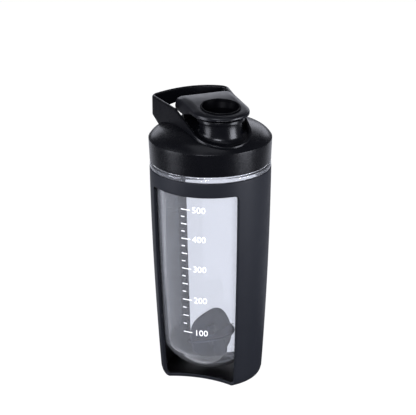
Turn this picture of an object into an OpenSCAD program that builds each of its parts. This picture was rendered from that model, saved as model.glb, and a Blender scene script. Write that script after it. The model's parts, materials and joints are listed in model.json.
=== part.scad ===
// Protein shaker bottle: a clear round-bottomed cup in a black two-window
// sleeve, closed by a screw lid with a spout, a flip cap and a carry handle.
// The origin is the middle of the foot, +Z is up, and the spout points to -Y.

/* [Bottle] */
// Outer diameter of the lid at its shoulder
lid_d = 88; // [86:0.5:92]
// Height of the lid's shoulder above the table
shoulder_z = 181.5; // [172:0.5:195]
// Outer diameter of the sleeve's foot, before its rounding
foot_d = 73.2; // [71:0.2:76]
// How far the side bows out half way up
side_bow = 1.15; // [0:0.05:1.5]

/* [Sleeve] */
// Wall of the sleeve
sleeve_t = 2.6; // [2.2:0.1:2.8]
// Height of the closed band above the windows
band_h = 10.7; // [8:0.1:14]
// Half of each window's angle about the axis
window_half = 48; // [40:1:54]
// Turn of the windows from the spout, seen from above
window_turn = -42; // [-90:1:90]
// Thickness of the bridge under the cup
bridge_t = 2.8; // [2.2:0.1:3.2]
// Half width of the bridge at its middle
bridge_half = 18.5; // [15:0.5:20]
// Radius of the sleeve's rounded foot
foot_round = 4.5; // [3.5:0.5:6]

/* [Cup] */
// Wall of the cup
cup_t = 2; // [1.6:0.1:2.2]
// Radius of the cup's domed bottom
dome_r = 40; // [39:0.5:42]
// Radius between the domed bottom and the side
knuckle_r = 12; // [9:0.5:13]

/* [Lid] */
// Height of the lid's band
lid_band_h = 16.7; // [16:0.1:18]
// Rise of the lid's dome above its shoulder
lid_dome_h = 13; // [12:0.1:13.5]
// Wall of the lid
lid_t = 2.4; // [2.2:0.1:2.6]
// Outer radius of the spout at its waist
spout_r = 15; // [14.8:0.1:15.2]
// Height of the spout's rim above the shoulder
spout_h = 24; // [23.6:0.1:24.2]

/* [Thread] */
// Rise of the thread in one turn
lead = 8; // [7.5:0.1:8.2]
// Height of each thread ridge from its wall
ridge_h = 1.3; // [1.1:0.05:1.35]

/* [Handle] */
// Thickness of the handle's strap
strap_t = 2.6; // [2.2:0.1:2.6]
// Half width of the handle across its rear corners
handle_half = 29.5; // [27:0.5:31]
// Height of the crossbar's middle above the shoulder
crossbar_top = 25; // [24.5:0.1:26]

/* [Flip cap] */
// Height of the cap's plate above the shoulder
cap_top = 28.5; // [28.3:0.1:29]
// Half width of the cap
cap_half = 20.3; // [19.8:0.1:20.4]
// Radius of the hinge pin
pin_r = 1.5; // [1.3:0.05:1.6]

/* [Mixing ball] */
// Outer radius of the mixing ball
ball_r = 18.5; // [17:0.1:21]
// Lean of the mixing ball where it lies
ball_tilt = 8; // [0:1:20]

/* [Hidden] */
$fn = 96;
eps = 0.01;

black = [0.09, 0.1, 0.12];
charcoal = [0.17, 0.18, 0.21];
clear = [0.86, 0.88, 0.95, 0.35];
silicone = [0.8, 0.81, 0.84];
ball_grey = [0.34, 0.36, 0.42];

// Fits
slide_gap = 0.35;
face_gap = 0.1;
run_gap = 0.05;

// Bottle
lid_r = lid_d / 2;
lid_foot_z = shoulder_z - lid_band_h;
rim_r = lid_r - 0.5;
foot_r = foot_d / 2;
clear_ring_h = 4.7;
sleeve_h = lid_foot_z - clear_ring_h;
side_steps = 12;

// Sleeve and bridge
window_top = sleeve_h - band_h;
leg_corner = foot_r * [cos(window_half), sin(window_half)];
scoop_in = leg_corner[0] - bridge_half;
scoop_r = (leg_corner[1] * leg_corner[1] + scoop_in * scoop_in) / (2 * scoop_in);

// Cup
cup_floor_z = 5;
nub_r = 1.4;
nub_h = 0.8;
neck_r = lid_r - 4.2;
cup_rim_z = shoulder_z - 3;
flange_t = 2.9;
bead_drop = 0.4;

// Lid
lid_bore_r = lid_r - 2.5;
lid_foot_r = lid_r - 0.7;
seat_z = -1;
rib_r = lid_r - 8;
rib_t = 1.6;
rib_foot_z = -6;
dome_sphere_r = 100;
edge_r = lid_r - 8;
spout_y = -20.3;
spout_bore_r = 13.3;
spout_foot_r = 19.1;
collar_z = 18.2;
collar_h = 2.2;
collar_w = 1.7;

// Thread
ridge_root = 2.2;
ridge_crest = 1;
ridge_sink = 0.6;
ridge_step = 10;
thread_z = shoulder_z - 14.6;
thread_offset = 2.6;
cup_thread_arc = 430;
lid_thread_start = 90;
lid_thread_arc = 350;

// Handle
ring_r = 22;
handle_y = 43.5;
handle_corner = 5;
strap_low = 3.8;
arm_top = 22;
arm_foot_y = 29;
arm_foot_z = 2.6;
arm_back_z = 10.7;
finger_half = 24;
finger_top = 16.6;
clip_size = [1.8, 10, 6];
clip_foot_z = 6.6;
clip_x = ring_r - strap_t / 2
  - spout_y * (handle_half - ring_r) / (handle_y - handle_corner - spout_y);

// Flip cap and hinge
hinge_y = 13.8;
hinge_z = 20.2;
barrel_r = 3.2;
knuckle_half = 15.5;
post_t = 4;
side_gap = 0.5;
skirt_t = 2.2;
plate_t = 2.4;
skirt_foot = 22.4;
cap_back = [11, 27.6];
plug_seat_r = 14;

// Mixing ball
ball_turn = -21;
vane_t = 1.6;
vane_r = ball_r - 0.5;
vane_turn = 35;
low_reach = 2.3;
ball_z = cup_floor_z + cup_t + vane_r + low_reach + 0.8;
hub_r = 3.6;
hub_h = 8;
axle_r = 2;
axle_half = 6.4;

// Outer radius of the bottle's side at height z
function side_r(z) =
  let (t = z / sleeve_h)
  foot_r + (rim_r - foot_r) * t + side_bow * 4 * t * (1 - t);

// Points on an arc about c, from angle a to angle b
function arc(c, r, a, b, n) =
  [for (i = [0:n]) c + r * [cos(a + (b - a) * i / n), sin(a + (b - a) * i / n)]];

// Points on a quadratic curve from a to c, drawn towards b
function curve(a, b, c, n) =
  [for (i = [0:n]) let (t = i / n) a * (1 - t) * (1 - t) + b * 2 * t * (1 - t) + c * t * t];

// Points on a cubic curve from a to d
function curve4(a, b, c, d, n) =
  [for (i = [0:n]) let (t = i / n, s = 1 - t)
    a * s * s * s + b * 3 * s * s * t + c * 3 * s * t * t + d * t * t * t];

function reversed(list) = [for (i = [len(list) - 1:-1:0]) list[i]];

// The side of the bottle, moved in by inset, from height a to height b
function side(inset, a, b) =
  [for (i = [0:side_steps]) let (z = a + (b - a) * i / side_steps) [side_r(z) - inset, z]];

// Half section of the cup's skin, moved in by inset, from the floor's middle to the rim
function cup_skin(inset) =
  let (
    ball_c = [0, cup_floor_z + dome_r],
    skin = sleeve_t + slide_gap,
    reach = side_r(cup_floor_z + 22) - skin - knuckle_r,
    drop = sqrt(pow(dome_r - knuckle_r, 2) - reach * reach),
    knuckle_c = ball_c + [reach, -drop],
    join = atan2(drop, reach)
  )
  concat(
    [for (i = [0:8]) let (a = -90 + (90 - join) * i / 8)
      ball_c + (dome_r - inset) * [cos(a), sin(a)]],
    arc(knuckle_c, knuckle_r - inset, -join + 6, -3, 6),
    side(skin + inset, knuckle_c[1] + 2, sleeve_h)
  );

// Height of the lid's dome above the shoulder at radius r
function dome_z(r) =
  lid_dome_h - dome_sphere_r + sqrt(dome_sphere_r * dome_sphere_r - r * r);

// Half section of the dome's outside, from the shoulder's edge to the middle
function dome_skin() =
  let (
    z = dome_z(edge_r),
    slope = edge_r / sqrt(dome_sphere_r * dome_sphere_r - edge_r * edge_r),
    run = (lid_r - edge_r) * 0.63
  )
  concat(
    reversed(curve([edge_r, z], [edge_r + run, z - run * slope], [lid_r - 0.3, 0], 8)),
    [for (i = [1:8]) let (r = edge_r * (1 - i / 8)) [r, dome_z(r)]]
  );

// Outline of the spout's outside, from its foot to its rim
function spout_skin() =
  concat(
    curve([spout_foot_r, 2.4], [spout_r, 4.5], [spout_r, 15.5], 8),
    [
      [spout_r + 0.1, collar_z - 0.5], [spout_r + collar_w, collar_z],
      [spout_r + collar_w, collar_z + collar_h], [spout_r + 0.4, collar_z + collar_h + 0.6],
      [spout_r + 0.4, spout_h - 0.6]
    ]
  );

// A helical ridge with a tapered section and faded ends
module ridge(root_r, crest_r, z, start, sweep) {
  steps = ceil(sweep / ridge_step);
  points = [
    for (i = [0:steps])
      let (
        a = start + sweep * i / steps,
        h = z + lead * a / 360,
        fade = min(1, 0.15 + min(i, steps - i) / 3),
        crest = root_r + (crest_r - root_r) * fade
      )
      for (p = [
        [root_r, -ridge_root / 2], [crest, -ridge_crest / 2],
        [crest, ridge_crest / 2], [root_r, ridge_root / 2]
      ])
        [p[0] * cos(a), p[0] * sin(a), h + p[1]]
  ];
  bands = [
    for (i = [0:steps - 1], k = [0:3])
      let (a = 4 * i + k, b = 4 * i + (k + 1) % 4)
      for (f = [[a, b, a + 4], [b, b + 4, a + 4]]) f
  ];
  ends = [[3, 2, 1, 0], [for (k = [0:3]) 4 * steps + k]];
  flip = crest_r < root_r;
  faces = concat(bands, ends);
  polyhedron(points, flip ? [for (f = faces) reversed(f)] : faces);
}

// The black sleeve, with its two windows and its base bridge
module outer_sleeve() {
  color(charcoal)
  difference() {
    rotate_extrude()
    polygon(concat(
      [[0, 0]],
      arc([foot_r - foot_round, foot_round], foot_round, -90, -4, 8),
      side(0, foot_round + 1, sleeve_h),
      reversed(side(sleeve_t, foot_round + 1, sleeve_h)),
      reversed(arc([foot_r - foot_round, foot_round], foot_round - sleeve_t, -90, -4, 6)),
      [[0, bridge_t]]
    ));
    for (turn = [0, 180])
      rotate([0, 0, window_turn + turn - 90]) {
        translate([0, 0, bridge_t])
        rotate([0, 0, -window_half])
        rotate_extrude(angle = 2 * window_half)
        translate([bridge_half - 8, 0])
        square([lid_r, window_top - bridge_t]);
        translate([bridge_half + scoop_r, 0, -1])
        cylinder(h = bridge_t + 2, r = scoop_r, $fn = 180);
      }
  }
}

// The clear cup, with its flange, bead and outside thread
module inner_cup() {
  outer = cup_skin(0);
  inner = cup_skin(cup_t);
  flange_z = sleeve_h + face_gap;
  bead_z = lid_foot_z - 0.5;
  color(clear)
  union() {
    rotate_extrude()
    polygon(concat(
      outer,
      [
        [outer[len(outer) - 1][0], flange_z],
        [lid_foot_r - 0.2, flange_z],
        [lid_foot_r, flange_z + 0.4],
        [lid_foot_r, flange_z + flange_t - 0.4],
        [lid_foot_r - 0.4, flange_z + flange_t],
        [neck_r + 1.5, flange_z + flange_t + bead_drop],
        [lid_foot_r - 0.9, flange_z + flange_t + bead_drop + 0.2],
        [lid_foot_r - 0.9, bead_z],
        [neck_r + 1, lid_foot_z],
        [neck_r, lid_foot_z + 0.6],
        [neck_r, cup_rim_z - 0.5],
        [neck_r - 0.5, cup_rim_z],
        [neck_r - cup_t + 0.4, cup_rim_z],
        [neck_r - cup_t, cup_rim_z - 0.4],
        [neck_r - cup_t, lid_foot_z - 1]
      ],
      reversed(inner)
    ));
    ridge(neck_r - ridge_sink, neck_r + ridge_h, thread_z, 0, cup_thread_arc);
    translate([0, 0, cup_floor_z - nub_h])
    cylinder(h = nub_h + 1, r = nub_r);
  }
}

// The silicone ring between the cup's rim and the lid
module lid_gasket() {
  color(silicone)
  translate([0, 0, cup_rim_z + face_gap])
  difference() {
    cylinder(h = shoulder_z + seat_z - cup_rim_z - 2 * face_gap, r = neck_r + 0.6);
    translate([0, 0, -1]) cylinder(h = 5, r = rib_r + 0.6);
  }
}

// The solid outside of the lid's band and dome
module lid_outside() {
  rotate_extrude()
  polygon(concat(
    [[0, -lid_band_h], [lid_foot_r - 0.3, -lid_band_h], [lid_foot_r, -lid_band_h + 0.3]],
    [[lid_r, -0.5]],
    dome_skin()
  ));
}

// The solid outside of the spout
module spout_outside() {
  translate([0, spout_y, 0])
  rotate_extrude()
  polygon(concat(
    [[0, -1], [spout_foot_r, -1]],
    spout_skin(),
    [[spout_r - 0.2, spout_h], [0, spout_h]]
  ));
}

// The screw lid: band, dome, spout with its collar, hinge knuckle and inside thread
module screw_lid() {
  inner_dome = [for (i = [0:8]) let (r = (rib_r - rib_t) * (1 - i / 8)) [r, dome_z(r) - lid_t]];
  color(black) {
    translate([0, 0, shoulder_z])
    difference() {
      union() {
        lid_outside();
        spout_outside();
        translate([-knuckle_half, hinge_y, hinge_z])
        rotate([0, 90, 0])
        cylinder(h = 2 * knuckle_half, r = barrel_r - 0.2);
        translate([-knuckle_half, hinge_y - post_t / 2, 6])
        cube([2 * knuckle_half, post_t, hinge_z - 6]);
      }
      rotate_extrude()
      polygon(concat(
        [
          [0, -lid_band_h - 1],
          [lid_bore_r, -lid_band_h - 1],
          [lid_bore_r, seat_z],
          [rib_r, seat_z],
          [rib_r, rib_foot_z],
          [rib_r - rib_t, rib_foot_z]
        ],
        inner_dome
      ));
      translate([0, spout_y, -1])
      cylinder(h = spout_h + 2, r = spout_bore_r);
      handle_clips(face_gap);
      translate([-knuckle_half - 1, hinge_y, hinge_z])
      rotate([0, 90, 0])
      cylinder(h = 2 * knuckle_half + 2, r = pin_r + run_gap);
    }
    ridge(
      lid_bore_r + ridge_sink, lid_bore_r - ridge_h,
      thread_z - thread_offset, lid_thread_start, lid_thread_arc
    );
  }
}

// Plan of the handle's strap, moved in by inset
module handle_plan(inset) {
  corner = [handle_half - handle_corner, handle_y - handle_corner];
  polygon(concat(
    arc([0, spout_y], ring_r - inset, 180, 360, 32),
    arc(corner, handle_corner - inset, 0, 90, 6),
    arc([-corner[0], corner[1]], handle_corner - inset, 90, 180, 6)
  ));
}

// The two clips under the handle's arms, or with a gap their slots in the lid
module handle_clips(gap) {
  for (s = [-1, 1])
    translate([s * clip_x, 0, clip_foot_z + clip_size[2] / 2])
    cube(clip_size + [2 * gap, 2 * gap, 2 * gap], center = true);
}

// The handle's strap: a low ring round the spout that rises to a rear crossbar
module handle_strap() {
  wide = 2 * handle_half + 4;
  difference() {
    intersection() {
      translate([0, 0, -1])
      linear_extrude(height = 30)
      difference() {
        handle_plan(0);
        handle_plan(strap_t);
      }
      union() {
        rotate([90, 0, 90])
        translate([0, 0, -wide / 2])
        linear_extrude(height = wide)
        polygon(concat(
          curve4([-43, strap_low], [-30, 9], [-12, 14], [6, arm_top - 0.6], 16),
          [
            [handle_y + 1, arm_top],
            [handle_y + 1, arm_back_z],
            [arm_foot_y, arm_foot_z],
            [arm_foot_y, -1],
            [-43, -1]
          ]
        ));
        translate([0, handle_y + 1, 0])
        rotate([90, 0, 0])
        linear_extrude(height = handle_corner + 3)
        polygon(concat(
          [[-wide / 2, arm_top - 2], [wide / 2, arm_top - 2]],
          curve([wide / 2, arm_top - 0.4], [0, 2 * crossbar_top - arm_top + 0.4],
                [-wide / 2, arm_top - 0.4], 16)
        ));
      }
    }
    translate([0, handle_y + 2, 0])
    rotate([90, 0, 0])
    linear_extrude(height = 14)
    polygon(concat(
      [[-finger_half, -2], [finger_half, -2]],
      curve([finger_half, arm_back_z], [0, 2 * finger_top - arm_back_z],
            [-finger_half, arm_back_z], 16)
    ));
    lid_outside();
    spout_outside();
  }
}

// The carry handle, clipped into the lid
module carry_handle() {
  color(black)
  translate([0, 0, shoulder_z]) {
    handle_strap();
    handle_clips(0);
  }
}

// The pin through the cap's barrels and the lid's knuckle
module hinge_pin() {
  color(charcoal)
  translate([-cap_half + 1, hinge_y, shoulder_z + hinge_z])
  rotate([0, 90, 0])
  cylinder(h = 2 * cap_half - 2, r = pin_r);
}

// Half section of the cap's shell, with its skirt down to height foot
function cap_section(foot) = concat(
  [[0, cap_top]],
  curve([cap_half - 3.8, cap_top], [cap_half, cap_top], [cap_half, cap_top - 2.6], 6),
  [
    [cap_half, foot + 0.4], [cap_half - 0.4, foot], [cap_half - skirt_t, foot],
    [cap_half - skirt_t, cap_top - plate_t - 0.8], [cap_half - skirt_t - 0.8, cap_top - plate_t],
    [0, cap_top - plate_t]
  ]
);

// The flip cap: plate, skirt and hinge barrels
module flip_cap() {
  section = cap_section(skirt_foot);
  deep = cap_section(hinge_z - barrel_r);
  both = concat(deep, [for (p = reversed(deep)) [-p[0], p[1]]]);
  wide = 2 * cap_half + 2;
  cap_end = hinge_y + barrel_r;
  color(black)
  translate([0, 0, shoulder_z])
  difference() {
    union() {
      translate([0, spout_y, 0])
      rotate([0, 0, 180])
      rotate_extrude(angle = 180)
      polygon(section);
      difference() {
        union() {
          translate([0, cap_end, 0])
          rotate([90, 0, 0])
          linear_extrude(height = cap_end - spout_y)
          polygon(both);
          rotate([90, 0, 90])
          translate([0, 0, -cap_half + 1])
          linear_extrude(height = 2 * cap_half - 2)
          polygon([
            [cap_back[0] - 3, cap_top - 1], cap_back,
            [cap_end, hinge_z], [cap_end - 2.6, hinge_z]
          ]);
        }
        rotate([90, 0, 90])
        translate([0, 0, -wide / 2])
        linear_extrude(height = wide)
        polygon([
          [3, cap_top], cap_back, [cap_end, hinge_z], [cap_end + 5, hinge_z],
          [cap_end + 5, cap_top + 5], [3, cap_top + 5]
        ]);
        rotate([90, 0, 90])
        translate([0, 0, -wide / 2])
        linear_extrude(height = wide)
        polygon([
          [spout_y - 1, skirt_foot], [spout_y, skirt_foot], [6, hinge_z],
          [cap_end + 5, hinge_z], [cap_end + 5, 0], [spout_y - 1, 0]
        ]);
      }
      for (s = [-1, 1])
        translate([s * (cap_half + knuckle_half + side_gap) / 2, hinge_y, hinge_z])
        rotate([0, 90, 0])
        cylinder(h = cap_half - knuckle_half - side_gap, r = barrel_r, center = true);
    }
    translate([0, spout_y, cap_top - 5])
    cylinder(h = 10, r = plug_seat_r);
    translate([-knuckle_half - side_gap, hinge_y, hinge_z])
    rotate([0, 90, 0])
    cylinder(h = 2 * (knuckle_half + side_gap), r = barrel_r + 0.7);
    translate([-cap_half - 1, hinge_y, hinge_z])
    rotate([0, 90, 0])
    cylinder(h = 2 * cap_half + 2, r = pin_r + run_gap);
  }
}

// The deep stopper set in the cap's plate
module cap_plug() {
  color(charcoal)
  translate([0, spout_y, shoulder_z])
  rotate_extrude()
  polygon(concat(
    [
      [0, 15.6], [11.4, 15.6], [12.3, 16.6], [12.5, 22.3],
      [12, 22.3], [12, 23.7], [12.6, 23.7], [12.8, 24.6],
      [plug_seat_r - face_gap, cap_top - plate_t], [plug_seat_r - face_gap, cap_top + eps]
    ],
    arc([plug_seat_r - 0.1, cap_top + 0.1], 0.6, 0, 180, 8),
    [
      [13, cap_top - 1.2], [12.2, cap_top - 3], [11.3, cap_top - 5.4],
      [11, 18.4], [9.8, 17.2], [0, 17.2]
    ]
  ));
}

// The silicone ring round the plug
module spout_seal() {
  color(silicone)
  translate([0, spout_y, shoulder_z + 22.3])
  difference() {
    cylinder(h = 1.4, r = 12.9);
    translate([0, 0, -1]) cylinder(h = 4, r = 12);
  }
}

// Where the mixing ball lies
module in_ball() {
  translate([0, 0, ball_z])
  rotate([0, 0, ball_turn])
  rotate([0, -ball_tilt, 0])
  children();
}

// Round vanes at some turns, moved up by rise and cut off at the ball's equator
module vanes(turns, rise) {
  intersection() {
    for (a = turns)
      translate([0, 0, rise])
      rotate([0, 0, a])
      rotate([90, 0, 0])
      cylinder(h = vane_t, r = vane_r, center = true);
    translate([-ball_r, -ball_r, vane_t / 2])
    cube(2 * ball_r + low_reach);
  }
}

// Blind room for the round pin
module pin_room() {
  cylinder(h = 2 * (axle_half + face_gap), r = axle_r + run_gap, center = true);
}

// The equator disc and upper vane of the mixing ball
module mixer_upper() {
  color(ball_grey)
  in_ball()
  difference() {
    union() {
      vanes([vane_turn], 0);
      cylinder(h = vane_t, r = ball_r, center = true);
      cylinder(h = hub_h, r = hub_r);
    }
    pin_room();
  }
}

// The lower vanes of the mixing ball
module mixer_lower() {
  color(ball_grey)
  in_ball()
  rotate([180, 0, 0])
  difference() {
    union() {
      vanes([-vane_turn, 90 - vane_turn], low_reach);
      translate([0, 0, vane_t / 2]) cylinder(h = hub_h - vane_t / 2, r = hub_r);
    }
    pin_room();
  }
}

// The round pin inside the mixing ball's hub
module mixer_pin() {
  color(ball_grey)
  in_ball()
  cylinder(h = 2 * axle_half, r = axle_r, center = true);
}

outer_sleeve();
inner_cup();
lid_gasket();
screw_lid();
carry_handle();
hinge_pin();
flip_cap();
cap_plug();
spout_seal();
mixer_upper();
mixer_lower();
mixer_pin();
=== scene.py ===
"""Protein shaker bottle: finished pieces, materials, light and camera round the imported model.

Shapes are written in millimetres and become metres when a mesh is made.
"""

import json
import math

import bmesh
import bpy
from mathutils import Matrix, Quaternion, Vector


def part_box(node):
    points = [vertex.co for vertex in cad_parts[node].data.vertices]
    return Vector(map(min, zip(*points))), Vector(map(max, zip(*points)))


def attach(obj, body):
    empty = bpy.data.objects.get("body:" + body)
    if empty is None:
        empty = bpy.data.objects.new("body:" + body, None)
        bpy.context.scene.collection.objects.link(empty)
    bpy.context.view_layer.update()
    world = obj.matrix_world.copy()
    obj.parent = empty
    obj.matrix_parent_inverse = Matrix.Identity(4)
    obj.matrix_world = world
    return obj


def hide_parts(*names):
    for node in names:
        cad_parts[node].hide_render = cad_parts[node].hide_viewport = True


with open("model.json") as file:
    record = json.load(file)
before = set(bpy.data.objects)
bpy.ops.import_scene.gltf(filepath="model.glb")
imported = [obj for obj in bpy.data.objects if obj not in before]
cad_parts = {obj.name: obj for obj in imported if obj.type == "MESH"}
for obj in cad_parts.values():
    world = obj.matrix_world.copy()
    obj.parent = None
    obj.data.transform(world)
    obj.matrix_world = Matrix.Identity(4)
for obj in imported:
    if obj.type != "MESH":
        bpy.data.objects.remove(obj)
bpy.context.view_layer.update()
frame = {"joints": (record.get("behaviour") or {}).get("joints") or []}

MM = 0.001
WELD = 1e-6
SKIN = 0.02  # finished faces stay this far inside the CAD's


def box_mm(node):
    """Lowest and highest corner of a CAD node, in millimetres."""
    low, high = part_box(node)
    return low / MM, high / MM


def joint(name):
    """A joint's row in the record."""
    return next(j for j in frame["joints"] if j["name"] == name)


# Places taken from the frame
SLEEVE_H = box_mm("outer_sleeve")[1].z
RIM_R = box_mm("outer_sleeve")[1].x
CUP_FOOT_Z = box_mm("inner_cup")[0].z
CUP_RIM_Z = box_mm("inner_cup")[1].z
FLANGE_R = box_mm("inner_cup")[1].x
SHOULDER = joint("lid_turn")["pos_m"][2] / MM
LID_R = box_mm("screw_lid")[1].x
LID_FOOT = box_mm("screw_lid")[0].z - SHOULDER
SPOUT_H = box_mm("screw_lid")[1].z - SHOULDER
CAP_HALF = box_mm("flip_cap")[1].x
SPOUT_Y = box_mm("flip_cap")[0].y + CAP_HALF
CAP_TOP = box_mm("flip_cap")[1].z - SHOULDER
HINGE_Y = joint("cap_flip")["pos_m"][1] / MM
HINGE_Z = joint("cap_flip")["pos_m"][2] / MM - SHOULDER
BALL_CENTRE = Vector(joint("ball_spin")["pos_m"]) / MM
BALL_AXIS = Vector(joint("ball_spin")["axis"])

# Sleeve
FOOT_R = 36.6
SIDE_BOW = 1.15
SLEEVE_T = 2.6
BAND_H = 10.7
WINDOW_TOP = SLEEVE_H - BAND_H
WINDOW_HALF = 48
LEG_HALF = 90 - WINDOW_HALF
WINDOW_DIRECTION = -132
WINDOW_CORNER = 3
CORNER_STEPS = 5
FOOT_ROUND = 4.5
BRIDGE_HALF = 18.5
CORNER_ALONG = FOOT_R * math.sin(math.radians(WINDOW_HALF))
SCOOP_IN = FOOT_R * math.cos(math.radians(WINDOW_HALF)) - BRIDGE_HALF
SCOOP_R = (CORNER_ALONG ** 2 + SCOOP_IN ** 2) / (2 * SCOOP_IN)

# Cup
CUP_T = 2
CUP_GAP = 0.35
CUP_FLOOR = 5
DOME_R = 40
CUP_TURN_R = 12
NECK_R = LID_R - 4.2
NECK_IN_R = NECK_R - CUP_T
FLANGE_Z = SLEEVE_H + 0.1
FLANGE_TOP = FLANGE_Z + 2.9
THREAD_FOOT_Z = CUP_RIM_Z - 12.9

# Lid
DOME_H = 13
DOME_SPHERE = 100
EDGE_R = LID_R - 8
LID_T = 2.4
BORE_R = LID_R - 2.5
RIB_R = LID_R - 8
RIB_T = 1.6
DOME_END_R = LID_R - 3
EDGE_RADII = [LID_R - gap for gap in (2.2, 1.5, 1.0, 0.6)]
SPOUT_R = 15
SPOUT_FOOT_R = 19.1
SPOUT_BORE = 13.3
SPOUT_FILLET = 2.2
SPOUT_FOOT_Z = 2.4
SPOUT_EASED_Z = 15.5
SPOUT_LIP_R = SPOUT_R + 0.4
COLLAR_Z = 18.2
COLLAR_TOP = 20.4
COLLAR_R = SPOUT_R + 1.7
POST_WIDE = 15.5
POST_R = 3
POST_HALF = 2
POST_FLARE = 1
PIN_BORE = 1.55

# Thread
LEAD = 8
RIDGE_H = 1.3
RIDGE_HALF = 1.25
RIDGE_SLOPE = 0.9
RIDGE_FADE = 30
THREAD_Z = SHOULDER - 14.6
CUP_THREAD = (0, 430)
LID_THREAD = (90, 350)
LID_THREAD_DROP = 2.6


def side_r(z):
    """Outer radius of the bottle's side at height z."""
    t = z / SLEEVE_H
    return FOOT_R + (RIM_R - FOOT_R) * t + SIDE_BOW * 4 * t * (1 - t)


def mix(a, b, t):
    """From a to b by t."""
    return a + (b - a) * t


def ease(t):
    """0 to 1 with soft ends."""
    t = min(1, max(0, t))
    return t * t * (3 - 2 * t)


def polar(radius, degrees, centre=(0, 0)):
    """A point at an angle on a circle."""
    a = math.radians(degrees)
    return Vector((centre[0] + radius * math.cos(a), centre[1] + radius * math.sin(a)))


def arc(centre, radius, start, end, steps):
    """Points on an arc, both ends included."""
    return [polar(radius, mix(start, end, i / steps), centre) for i in range(steps + 1)]


def curve(a, b, c, steps):
    """Points on a quadratic curve from a to c, drawn towards b."""
    a, b, c = Vector(a), Vector(b), Vector(c)
    ts = [i / steps for i in range(steps + 1)]
    return [a * (1 - t) ** 2 + b * 2 * t * (1 - t) + c * t * t for t in ts]


def curve4(a, b, c, d, steps):
    """Points on a cubic curve from a to d."""
    a, b, c, d = (Vector(p) for p in (a, b, c, d))
    ts = [i / steps for i in range(steps + 1)]
    return [
        a * (1 - t) ** 3 + b * 3 * t * (1 - t) ** 2 + c * 3 * t * t * (1 - t) + d * t ** 3
        for t in ts
    ]


def between(low, high, steps):
    """Evenly spaced numbers, both ends included."""
    return [mix(low, high, i / steps) for i in range(steps + 1)]


def height_on(points, x):
    """Second coordinate of a polyline at x, its first coordinates rising."""
    for a, b in zip(points, points[1:]):
        if x <= b[0]:
            return mix(a[1], b[1], max(0, (x - a[0]) / (b[0] - a[0])))
    return points[-1][1]


def rounded(corners, steps=4):
    """Closed outline through corners (x, y, radius), each turned by an arc of its radius."""
    outline = []
    for i, (x, y, radius) in enumerate(corners):
        here = Vector((x, y))
        if radius == 0:
            outline.append(here)
            continue
        back = Vector(corners[i - 1][:2]) - here
        on = Vector(corners[(i + 1) % len(corners)][:2]) - here
        half = back.angle(on) / 2
        reach = min(radius / math.tan(half), 0.48 * back.length, 0.48 * on.length)
        start = here + back.normalized() * reach
        end = here + on.normalized() * reach
        out = (back.normalized() + on.normalized()).normalized()
        middle = here + out * reach / math.cos(half)
        first, last = start - middle, end - middle
        heading = math.degrees(math.atan2(first.y, first.x))
        turn = math.degrees(last.angle_signed(first))
        outline += arc(middle, first.length, heading, heading + turn, steps)
    return outline


def bridged(loops, closed=False, capped=False):
    """Quads between closed loops of points, as (points, faces)."""
    size, count = len(loops[0]), len(loops)
    points = [p for loop in loops for p in loop]
    faces = []
    for i in range(count if closed else count - 1):
        a, b = i * size, (i + 1) % count * size
        faces += [(a + k, a + (k + 1) % size, b + (k + 1) % size, b + k) for k in range(size)]
    if capped:
        faces += [tuple(range(size)), tuple(range((count - 1) * size, count * size))]
    return points, faces


def sheet(rows):
    """Quads between open rows of points, as (points, faces)."""
    size = len(rows[0])
    points = [p for row in rows for p in row]
    faces = [
        (i * size + k, i * size + k + 1, (i + 1) * size + k + 1, (i + 1) * size + k)
        for i in range(len(rows) - 1) for k in range(size - 1)
    ]
    return points, faces


def joined(*shells):
    """Several shells as one."""
    points, faces = [], []
    for some_points, some_faces in shells:
        faces += [tuple(i + len(points) for i in face) for face in some_faces]
        points += some_points
    return points, faces


def turned(outline, segments=180, centre=(0, 0), swell=None):
    """A closed outline of (r, z) points turned about a vertical axis."""
    loops = []
    for i in range(segments):
        a = 360 * i / segments
        loop = []
        for r, z in outline:
            grown = r + (swell(a, r, z) if swell else 0)
            x, y = polar(grown, a, centre)
            loop.append(Vector((x, y, z)))
        loops.append(loop)
    return bridged(loops, closed=True)


def moved(shell, place):
    """A shell with each point passed through a function."""
    return [place(p) for p in shell[0]], shell[1]


def baked(piece):
    """Applies a piece's modifiers."""
    graph = bpy.context.evaluated_depsgraph_get()
    mesh = bpy.data.meshes.new_from_object(piece.evaluated_get(graph))
    piece.modifiers.clear()
    piece.data = mesh
    mesh.name = piece.name


def new_object(name, data):
    """An object made from its data, in the scene."""
    made = bpy.data.objects.new(name, data)
    bpy.context.scene.collection.objects.link(made)
    return made


def new_mesh(name, shell, facing=True):
    """A welded mesh object in metres from a shell in millimetres, without loose parts."""
    mesh = bpy.data.meshes.new(name)
    mesh.from_pydata([Vector(p) * MM for p in shell[0]], [], shell[1])
    bm = bmesh.new()
    bm.from_mesh(mesh)
    bmesh.ops.remove_doubles(bm, verts=bm.verts, dist=WELD)
    bmesh.ops.dissolve_degenerate(bm, edges=bm.edges, dist=WELD)
    bmesh.ops.delete(bm, geom=[e for e in bm.edges if e.is_wire], context="EDGES")
    bmesh.ops.delete(bm, geom=[v for v in bm.verts if not v.link_faces], context="VERTS")
    if facing:
        bmesh.ops.recalc_face_normals(bm, faces=bm.faces)
    bm.to_mesh(mesh)
    bm.free()
    mesh.polygons.foreach_set("use_smooth", [True] * len(mesh.polygons))
    return new_object(name, mesh)


def cut(piece, shell):
    """Takes a closed shell away from a piece."""
    cutter = new_mesh("cutter", shell)
    away = piece.modifiers.new("cut", "BOOLEAN")
    away.operation = "DIFFERENCE"
    away.solver = "MANIFOLD"
    away.object = cutter
    bpy.context.view_layer.update()
    baked(piece)
    bpy.data.objects.remove(cutter)


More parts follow.
